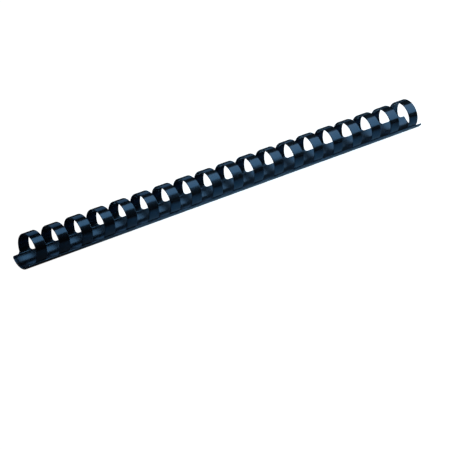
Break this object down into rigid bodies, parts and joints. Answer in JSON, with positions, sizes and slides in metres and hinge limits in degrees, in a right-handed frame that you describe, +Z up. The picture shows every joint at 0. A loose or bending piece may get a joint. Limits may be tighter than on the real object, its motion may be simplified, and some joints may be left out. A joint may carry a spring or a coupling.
{
  "type": "binding comb",
  "caption": "Plastic binding comb: a long trough-shaped spine with a row of curled fingers that close into rings and uncurl to take punched pages.",
  "frame": {"origin": "middle of the flat facet under the spine, below the ring axis at the middle ring", "axes": "+X along the comb to its right end, +Y to the rear where the fingers grow from the spine, +Z up"},
  "size_m": [0.2725, 0.0174, 0.018],
  "materials": {
    "comb_plastic": "smooth gloss PVC sheet, near-black navy"
  },
  "bodies": {
    "spine": {"spine": "comb_plastic"},
    "finger_01_root": {"finger_01_root": "comb_plastic"},
    "finger_01_crown": {"finger_01_crown": "comb_plastic"},
    "finger_01_tip": {"finger_01_tip": "comb_plastic"},
    "finger_02_root": {"finger_02_root": "comb_plastic"},
    "finger_02_crown": {"finger_02_crown": "comb_plastic"},
    "finger_02_tip": {"finger_02_tip": "comb_plastic"},
    "finger_03_root": {"finger_03_root": "comb_plastic"},
    "finger_03_crown": {"finger_03_crown": "comb_plastic"},
    "finger_03_tip": {"finger_03_tip": "comb_plastic"},
    "finger_04_root": {"finger_04_root": "comb_plastic"},
    "finger_04_crown": {"finger_04_crown": "comb_plastic"},
    "finger_04_tip": {"finger_04_tip": "comb_plastic"},
    "finger_05_root": {"finger_05_root": "comb_plastic"},
    "finger_05_crown": {"finger_05_crown": "comb_plastic"},
    "finger_05_tip": {"finger_05_tip": "comb_plastic"},
    "finger_06_root": {"finger_06_root": "comb_plastic"},
    "finger_06_crown": {"finger_06_crown": "comb_plastic"},
    "finger_06_tip": {"finger_06_tip": "comb_plastic"},
    "finger_07_root": {"finger_07_root": "comb_plastic"},
    "finger_07_crown": {"finger_07_crown": "comb_plastic"},
    "finger_07_tip": {"finger_07_tip": "comb_plastic"},
    "finger_08_root": {"finger_08_root": "comb_plastic"},
    "finger_08_crown": {"finger_08_crown": "comb_plastic"},
    "finger_08_tip": {"finger_08_tip": "comb_plastic"},
    "finger_09_root": {"finger_09_root": "comb_plastic"},
    "finger_09_crown": {"finger_09_crown": "comb_plastic"},
    "finger_09_tip": {"finger_09_tip": "comb_plastic"},
    "finger_10_root": {"finger_10_root": "comb_plastic"},
    "finger_10_crown": {"finger_10_crown": "comb_plastic"},
    "finger_10_tip": {"finger_10_tip": "comb_plastic"},
    "finger_11_root": {"finger_11_root": "comb_plastic"},
    "finger_11_crown": {"finger_11_crown": "comb_plastic"},
    "finger_11_tip": {"finger_11_tip": "comb_plastic"},
    "finger_12_root": {"finger_12_root": "comb_plastic"},
    "finger_12_crown": {"finger_12_crown": "comb_plastic"},
    "finger_12_tip": {"finger_12_tip": "comb_plastic"},
    "finger_13_root": {"finger_13_root": "comb_plastic"},
    "finger_13_crown": {"finger_13_crown": "comb_plastic"},
    "finger_13_tip": {"finger_13_tip": "comb_plastic"},
    "finger_14_root": {"finger_14_root": "comb_plastic"},
    "finger_14_crown": {"finger_14_crown": "comb_plastic"},
    "finger_14_tip": {"finger_14_tip": "comb_plastic"},
    "finger_15_root": {"finger_15_root": "comb_plastic"},
    "finger_15_crown": {"finger_15_crown": "comb_plastic"},
    "finger_15_tip": {"finger_15_tip": "comb_plastic"},
    "finger_16_root": {"finger_16_root": "comb_plastic"},
    "finger_16_crown": {"finger_16_crown": "comb_plastic"},
    "finger_16_tip": {"finger_16_tip": "comb_plastic"},
    "finger_17_root": {"finger_17_root": "comb_plastic"},
    "finger_17_crown": {"finger_17_crown": "comb_plastic"},
    "finger_17_tip": {"finger_17_tip": "comb_plastic"},
    "finger_18_root": {"finger_18_root": "comb_plastic"},
    "finger_18_crown": {"finger_18_crown": "comb_plastic"},
    "finger_18_tip": {"finger_18_tip": "comb_plastic"},
    "finger_19_root": {"finger_19_root": "comb_plastic"},
    "finger_19_crown": {"finger_19_crown": "comb_plastic"},
    "finger_19_tip": {"finger_19_tip": "comb_plastic"}
  },
  "joints": [
    {"name": "finger_01_root_flex", "type": "hinge", "parent": "spine", "child": "finger_01_root", "pos_m": [-0.12859, 0.00708, 0.00386], "axis": [-1, 0, 0], "range_deg": [0, 30], "stiffness_Nm_per_rad": 0.0297},
    {"name": "finger_01_crown_flex", "type": "hinge", "parent": "finger_01_root", "child": "finger_01_crown", "pos_m": [-0.12859, 0.00485, 0.01628], "axis": [-1, 0, 0], "range_deg": [0, 30]},
    {"name": "finger_01_tip_flex", "type": "hinge", "parent": "finger_01_crown", "child": "finger_01_tip", "pos_m": [-0.12859, -0.00696, 0.01366], "axis": [-1, 0, 0], "range_deg": [0, 15]},
    {"name": "finger_02_root_flex", "type": "hinge", "parent": "spine", "child": "finger_02_root", "pos_m": [-0.1143, 0.00708, 0.00386], "axis": [-1, 0, 0], "range_deg": [0, 30], "stiffness_Nm_per_rad": 0.0297},
    {"name": "finger_02_crown_flex", "type": "hinge", "parent": "finger_02_root", "child": "finger_02_crown", "pos_m": [-0.1143, 0.00485, 0.01628], "axis": [-1, 0, 0], "range_deg": [0, 30]},
    {"name": "finger_02_tip_flex", "type": "hinge", "parent": "finger_02_crown", "child": "finger_02_tip", "pos_m": [-0.1143, -0.00696, 0.01366], "axis": [-1, 0, 0], "range_deg": [0, 15]},
    {"name": "finger_03_root_flex", "type": "hinge", "parent": "spine", "child": "finger_03_root", "pos_m": [-0.10001, 0.00708, 0.00386], "axis": [-1, 0, 0], "range_deg": [0, 30], "stiffness_Nm_per_rad": 0.0297},
    {"name": "finger_03_crown_flex", "type": "hinge", "parent": "finger_03_root", "child": "finger_03_crown", "pos_m": [-0.10001, 0.00485, 0.01628], "axis": [-1, 0, 0], "range_deg": [0, 30]},
    {"name": "finger_03_tip_flex", "type": "hinge", "parent": "finger_03_crown", "child": "finger_03_tip", "pos_m": [-0.10001, -0.00696, 0.01366], "axis": [-1, 0, 0], "range_deg": [0, 15]},
    {"name": "finger_04_root_flex", "type": "hinge", "parent": "spine", "child": "finger_04_root", "pos_m": [-0.08572, 0.00708, 0.00386], "axis": [-1, 0, 0], "range_deg": [0, 30], "stiffness_Nm_per_rad": 0.0297},
    {"name": "finger_04_crown_flex", "type": "hinge", "parent": "finger_04_root", "child": "finger_04_crown", "pos_m": [-0.08572, 0.00485, 0.01628], "axis": [-1, 0, 0], "range_deg": [0, 30]},
    {"name": "finger_04_tip_flex", "type": "hinge", "parent": "finger_04_crown", "child": "finger_04_tip", "pos_m": [-0.08572, -0.00696, 0.01366], "axis": [-1, 0, 0], "range_deg": [0, 15]},
    {"name": "finger_05_root_flex", "type": "hinge", "parent": "spine", "child": "finger_05_root", "pos_m": [-0.07144, 0.00708, 0.00386], "axis": [-1, 0, 0], "range_deg": [0, 30], "stiffness_Nm_per_rad": 0.0297},
    {"name": "finger_05_crown_flex", "type": "hinge", "parent": "finger_05_root", "child": "finger_05_crown", "pos_m": [-0.07144, 0.00485, 0.01628], "axis": [-1, 0, 0], "range_deg": [0, 30]},
    {"name": "finger_05_tip_flex", "type": "hinge", "parent": "finger_05_crown", "child": "finger_05_tip", "pos_m": [-0.07144, -0.00696, 0.01366], "axis": [-1, 0, 0], "range_deg": [0, 15]},
    {"name": "finger_06_root_flex", "type": "hinge", "parent": "spine", "child": "finger_06_root", "pos_m": [-0.05715, 0.00708, 0.00386], "axis": [-1, 0, 0], "range_deg": [0, 30], "stiffness_Nm_per_rad": 0.0297},
    {"name": "finger_06_crown_flex", "type": "hinge", "parent": "finger_06_root", "child": "finger_06_crown", "pos_m": [-0.05715, 0.00485, 0.01628], "axis": [-1, 0, 0], "range_deg": [0, 30]},
    {"name": "finger_06_tip_flex", "type": "hinge", "parent": "finger_06_crown", "child": "finger_06_tip", "pos_m": [-0.05715, -0.00696, 0.01366], "axis": [-1, 0, 0], "range_deg": [0, 15]},
    {"name": "finger_07_root_flex", "type": "hinge", "parent": "spine", "child": "finger_07_root", "pos_m": [-0.04286, 0.00708, 0.00386], "axis": [-1, 0, 0], "range_deg": [0, 30], "stiffness_Nm_per_rad": 0.0297},
    {"name": "finger_07_crown_flex", "type": "hinge", "parent": "finger_07_root", "child": "finger_07_crown", "pos_m": [-0.04286, 0.00485, 0.01628], "axis": [-1, 0, 0], "range_deg": [0, 30]},
    {"name": "finger_07_tip_flex", "type": "hinge", "parent": "finger_07_crown", "child": "finger_07_tip", "pos_m": [-0.04286, -0.00696, 0.01366], "axis": [-1, 0, 0], "range_deg": [0, 15]},
    {"name": "finger_08_root_flex", "type": "hinge", "parent": "spine", "child": "finger_08_root", "pos_m": [-0.02857, 0.00708, 0.00386], "axis": [-1, 0, 0], "range_deg": [0, 30], "stiffness_Nm_per_rad": 0.0297},
    {"name": "finger_08_crown_flex", "type": "hinge", "parent": "finger_08_root", "child": "finger_08_crown", "pos_m": [-0.02857, 0.00485, 0.01628], "axis": [-1, 0, 0], "range_deg": [0, 30]},
    {"name": "finger_08_tip_flex", "type": "hinge", "parent": "finger_08_crown", "child": "finger_08_tip", "pos_m": [-0.02857, -0.00696, 0.01366], "axis": [-1, 0, 0], "range_deg": [0, 15]},
    {"name": "finger_09_root_flex", "type": "hinge", "parent": "spine", "child": "finger_09_root", "pos_m": [-0.01429, 0.00708, 0.00386], "axis": [-1, 0, 0], "range_deg": [0, 30], "stiffness_Nm_per_rad": 0.0297},
    {"name": "finger_09_crown_flex", "type": "hinge", "parent": "finger_09_root", "child": "finger_09_crown", "pos_m": [-0.01429, 0.00485, 0.01628], "axis": [-1, 0, 0], "range_deg": [0, 30]},
    {"name": "finger_09_tip_flex", "type": "hinge", "parent": "finger_09_crown", "child": "finger_09_tip", "pos_m": [-0.01429, -0.00696, 0.01366], "axis": [-1, 0, 0], "range_deg": [0, 15]},
    {"name": "finger_10_root_flex", "type": "hinge", "parent": "spine", "child": "finger_10_root", "pos_m": [0, 0.00708, 0.00386], "axis": [-1, 0, 0], "range_deg": [0, 30], "stiffness_Nm_per_rad": 0.0297},
    {"name": "finger_10_crown_flex", "type": "hinge", "parent": "finger_10_root", "child": "finger_10_crown", "pos_m": [0, 0.00485, 0.01628], "axis": [-1, 0, 0], "range_deg": [0, 30]},
    {"name": "finger_10_tip_flex", "type": "hinge", "parent": "finger_10_crown", "child": "finger_10_tip", "pos_m": [0, -0.00696, 0.01366], "axis": [-1, 0, 0], "range_deg": [0, 15]},
    {"name": "finger_11_root_flex", "type": "hinge", "parent": "spine", "child": "finger_11_root", "pos_m": [0.01429, 0.00708, 0.00386], "axis": [-1, 0, 0], "range_deg": [0, 30], "stiffness_Nm_per_rad": 0.0297},
    {"name": "finger_11_crown_flex", "type": "hinge", "parent": "finger_11_root", "child": "finger_11_crown", "pos_m": [0.01429, 0.00485, 0.01628], "axis": [-1, 0, 0], "range_deg": [0, 30]},
    {"name": "finger_11_tip_flex", "type": "hinge", "parent": "finger_11_crown", "child": "finger_11_tip", "pos_m": [0.01429, -0.00696, 0.01366], "axis": [-1, 0, 0], "range_deg": [0, 15]},
    {"name": "finger_12_root_flex", "type": "hinge", "parent": "spine", "child": "finger_12_root", "pos_m": [0.02857, 0.00708, 0.00386], "axis": [-1, 0, 0], "range_deg": [0, 30], "stiffness_Nm_per_rad": 0.0297},
    {"name": "finger_12_crown_flex", "type": "hinge", "parent": "finger_12_root", "child": "finger_12_crown", "pos_m": [0.02857, 0.00485, 0.01628], "axis": [-1, 0, 0], "range_deg": [0, 30]},
    {"name": "finger_12_tip_flex", "type": "hinge", "parent": "finger_12_crown", "child": "finger_12_tip", "pos_m": [0.02857, -0.00696, 0.01366], "axis": [-1, 0, 0], "range_deg": [0, 15]},
    {"name": "finger_13_root_flex", "type": "hinge", "parent": "spine", "child": "finger_13_root", "pos_m": [0.04286, 0.00708, 0.00386], "axis": [-1, 0, 0], "range_deg": [0, 30], "stiffness_Nm_per_rad": 0.0297},
    {"name": "finger_13_crown_flex", "type": "hinge", "parent": "finger_13_root", "child": "finger_13_crown", "pos_m": [0.04286, 0.00485, 0.01628], "axis": [-1, 0, 0], "range_deg": [0, 30]},
    {"name": "finger_13_tip_flex", "type": "hinge", "parent": "finger_13_crown", "child": "finger_13_tip", "pos_m": [0.04286, -0.00696, 0.01366], "axis": [-1, 0, 0], "range_deg": [0, 15]},
    {"name": "finger_14_root_flex", "type": "hinge", "parent": "spine", "child": "finger_14_root", "pos_m": [0.05715, 0.00708, 0.00386], "axis": [-1, 0, 0], "range_deg": [0, 30], "stiffness_Nm_per_rad": 0.0297},
    {"name": "finger_14_crown_flex", "type": "hinge", "parent": "finger_14_root", "child": "finger_14_crown", "pos_m": [0.05715, 0.00485, 0.01628], "axis": [-1, 0, 0], "range_deg": [0, 30]},
    {"name": "finger_14_tip_flex", "type": "hinge", "parent": "finger_14_crown", "child": "finger_14_tip", "pos_m": [0.05715, -0.00696, 0.01366], "axis": [-1, 0, 0], "range_deg": [0, 15]},
    {"name": "finger_15_root_flex", "type": "hinge", "parent": "spine", "child": "finger_15_root", "pos_m": [0.07144, 0.00708, 0.00386], "axis": [-1, 0, 0], "range_deg": [0, 30], "stiffness_Nm_per_rad": 0.0297},
    {"name": "finger_15_crown_flex", "type": "hinge", "parent": "finger_15_root", "child": "finger_15_crown", "pos_m": [0.07144, 0.00485, 0.01628], "axis": [-1, 0, 0], "range_deg": [0, 30]},
    {"name": "finger_15_tip_flex", "type": "hinge", "parent": "finger_15_crown", "child": "finger_15_tip", "pos_m": [0.07144, -0.00696, 0.01366], "axis": [-1, 0, 0], "range_deg": [0, 15]},
    {"name": "finger_16_root_flex", "type": "hinge", "parent": "spine", "child": "finger_16_root", "pos_m": [0.08572, 0.00708, 0.00386], "axis": [-1, 0, 0], "range_deg": [0, 30], "stiffness_Nm_per_rad": 0.0297},
    {"name": "finger_16_crown_flex", "type": "hinge", "parent": "finger_16_root", "child": "finger_16_crown", "pos_m": [0.08572, 0.00485, 0.01628], "axis": [-1, 0, 0], "range_deg": [0, 30]},
    {"name": "finger_16_tip_flex", "type": "hinge", "parent": "finger_16_crown", "child": "finger_16_tip", "pos_m": [0.08572, -0.00696, 0.01366], "axis": [-1, 0, 0], "range_deg": [0, 15]},
    {"name": "finger_17_root_flex", "type": "hinge", "parent": "spine", "child": "finger_17_root", "pos_m": [0.10001, 0.00708, 0.00386], "axis": [-1, 0, 0], "range_deg": [0, 30], "stiffness_Nm_per_rad": 0.0297},
    {"name": "finger_17_crown_flex", "type": "hinge", "parent": "finger_17_root", "child": "finger_17_crown", "pos_m": [0.10001, 0.00485, 0.01628], "axis": [-1, 0, 0], "range_deg": [0, 30]},
    {"name": "finger_17_tip_flex", "type": "hinge", "parent": "finger_17_crown", "child": "finger_17_tip", "pos_m": [0.10001, -0.00696, 0.01366], "axis": [-1, 0, 0], "range_deg": [0, 15]},
    {"name": "finger_18_root_flex", "type": "hinge", "parent": "spine", "child": "finger_18_root", "pos_m": [0.1143, 0.00708, 0.00386], "axis": [-1, 0, 0], "range_deg": [0, 30], "stiffness_Nm_per_rad": 0.0297},
    {"name": "finger_18_crown_flex", "type": "hinge", "parent": "finger_18_root", "child": "finger_18_crown", "pos_m": [0.1143, 0.00485, 0.01628], "axis": [-1, 0, 0], "range_deg": [0, 30]},
    {"name": "finger_18_tip_flex", "type": "hinge", "parent": "finger_18_crown", "child": "finger_18_tip", "pos_m": [0.1143, -0.00696, 0.01366], "axis": [-1, 0, 0], "range_deg": [0, 15]},
    {"name": "finger_19_root_flex", "type": "hinge", "parent": "spine", "child": "finger_19_root", "pos_m": [0.12859, 0.00708, 0.00386], "axis": [-1, 0, 0], "range_deg": [0, 30], "stiffness_Nm_per_rad": 0.0297},
    {"name": "finger_19_crown_flex", "type": "hinge", "parent": "finger_19_root", "child": "finger_19_crown", "pos_m": [0.12859, 0.00485, 0.01628], "axis": [-1, 0, 0], "range_deg": [0, 30]},
    {"name": "finger_19_tip_flex", "type": "hinge", "parent": "finger_19_crown", "child": "finger_19_tip", "pos_m": [0.12859, -0.00696, 0.01366], "axis": [-1, 0, 0], "range_deg": [0, 15]}
  ],
  "couplings": [
    {"joint": "finger_01_crown_flex", "follows": "finger_01_root_flex", "ratio": 1},
    {"joint": "finger_01_tip_flex", "follows": "finger_01_root_flex", "ratio": 0.5},
    {"joint": "finger_02_crown_flex", "follows": "finger_02_root_flex", "ratio": 1},
    {"joint": "finger_02_tip_flex", "follows": "finger_02_root_flex", "ratio": 0.5},
    {"joint": "finger_03_crown_flex", "follows": "finger_03_root_flex", "ratio": 1},
    {"joint": "finger_03_tip_flex", "follows": "finger_03_root_flex", "ratio": 0.5},
    {"joint": "finger_04_crown_flex", "follows": "finger_04_root_flex", "ratio": 1},
    {"joint": "finger_04_tip_flex", "follows": "finger_04_root_flex", "ratio": 0.5},
    {"joint": "finger_05_crown_flex", "follows": "finger_05_root_flex", "ratio": 1},
    {"joint": "finger_05_tip_flex", "follows": "finger_05_root_flex", "ratio": 0.5},
    {"joint": "finger_06_crown_flex", "follows": "finger_06_root_flex", "ratio": 1},
    {"joint": "finger_06_tip_flex", "follows": "finger_06_root_flex", "ratio": 0.5},
    {"joint": "finger_07_crown_flex", "follows": "finger_07_root_flex", "ratio": 1},
    {"joint": "finger_07_tip_flex", "follows": "finger_07_root_flex", "ratio": 0.5},
    {"joint": "finger_08_crown_flex", "follows": "finger_08_root_flex", "ratio": 1},
    {"joint": "finger_08_tip_flex", "follows": "finger_08_root_flex", "ratio": 0.5},
    {"joint": "finger_09_crown_flex", "follows": "finger_09_root_flex", "ratio": 1},
    {"joint": "finger_09_tip_flex", "follows": "finger_09_root_flex", "ratio": 0.5},
    {"joint": "finger_10_crown_flex", "follows": "finger_10_root_flex", "ratio": 1},
    {"joint": "finger_10_tip_flex", "follows": "finger_10_root_flex", "ratio": 0.5},
    {"joint": "finger_11_crown_flex", "follows": "finger_11_root_flex", "ratio": 1},
    {"joint": "finger_11_tip_flex", "follows": "finger_11_root_flex", "ratio": 0.5},
    {"joint": "finger_12_crown_flex", "follows": "finger_12_root_flex", "ratio": 1},
    {"joint": "finger_12_tip_flex", "follows": "finger_12_root_flex", "ratio": 0.5},
    {"joint": "finger_13_crown_flex", "follows": "finger_13_root_flex", "ratio": 1},
    {"joint": "finger_13_tip_flex", "follows": "finger_13_root_flex", "ratio": 0.5},
    {"joint": "finger_14_crown_flex", "follows": "finger_14_root_flex", "ratio": 1},
    {"joint": "finger_14_tip_flex", "follows": "finger_14_root_flex", "ratio": 0.5},
    {"joint": "finger_15_crown_flex", "follows": "finger_15_root_flex", "ratio": 1},
    {"joint": "finger_15_tip_flex", "follows": "finger_15_root_flex", "ratio": 0.5},
    {"joint": "finger_16_crown_flex", "follows": "finger_16_root_flex", "ratio": 1},
    {"joint": "finger_16_tip_flex", "follows": "finger_16_root_flex", "ratio": 0.5},
    {"joint": "finger_17_crown_flex", "follows": "finger_17_root_flex", "ratio": 1},
    {"joint": "finger_17_tip_flex", "follows": "finger_17_root_flex", "ratio": 0.5},
    {"joint": "finger_18_crown_flex", "follows": "finger_18_root_flex", "ratio": 1},
    {"joint": "finger_18_tip_flex", "follows": "finger_18_root_flex", "ratio": 0.5},
    {"joint": "finger_19_crown_flex", "follows": "finger_19_root_flex", "ratio": 1},
    {"joint": "finger_19_tip_flex", "follows": "finger_19_root_flex", "ratio": 0.5}
  ]
}
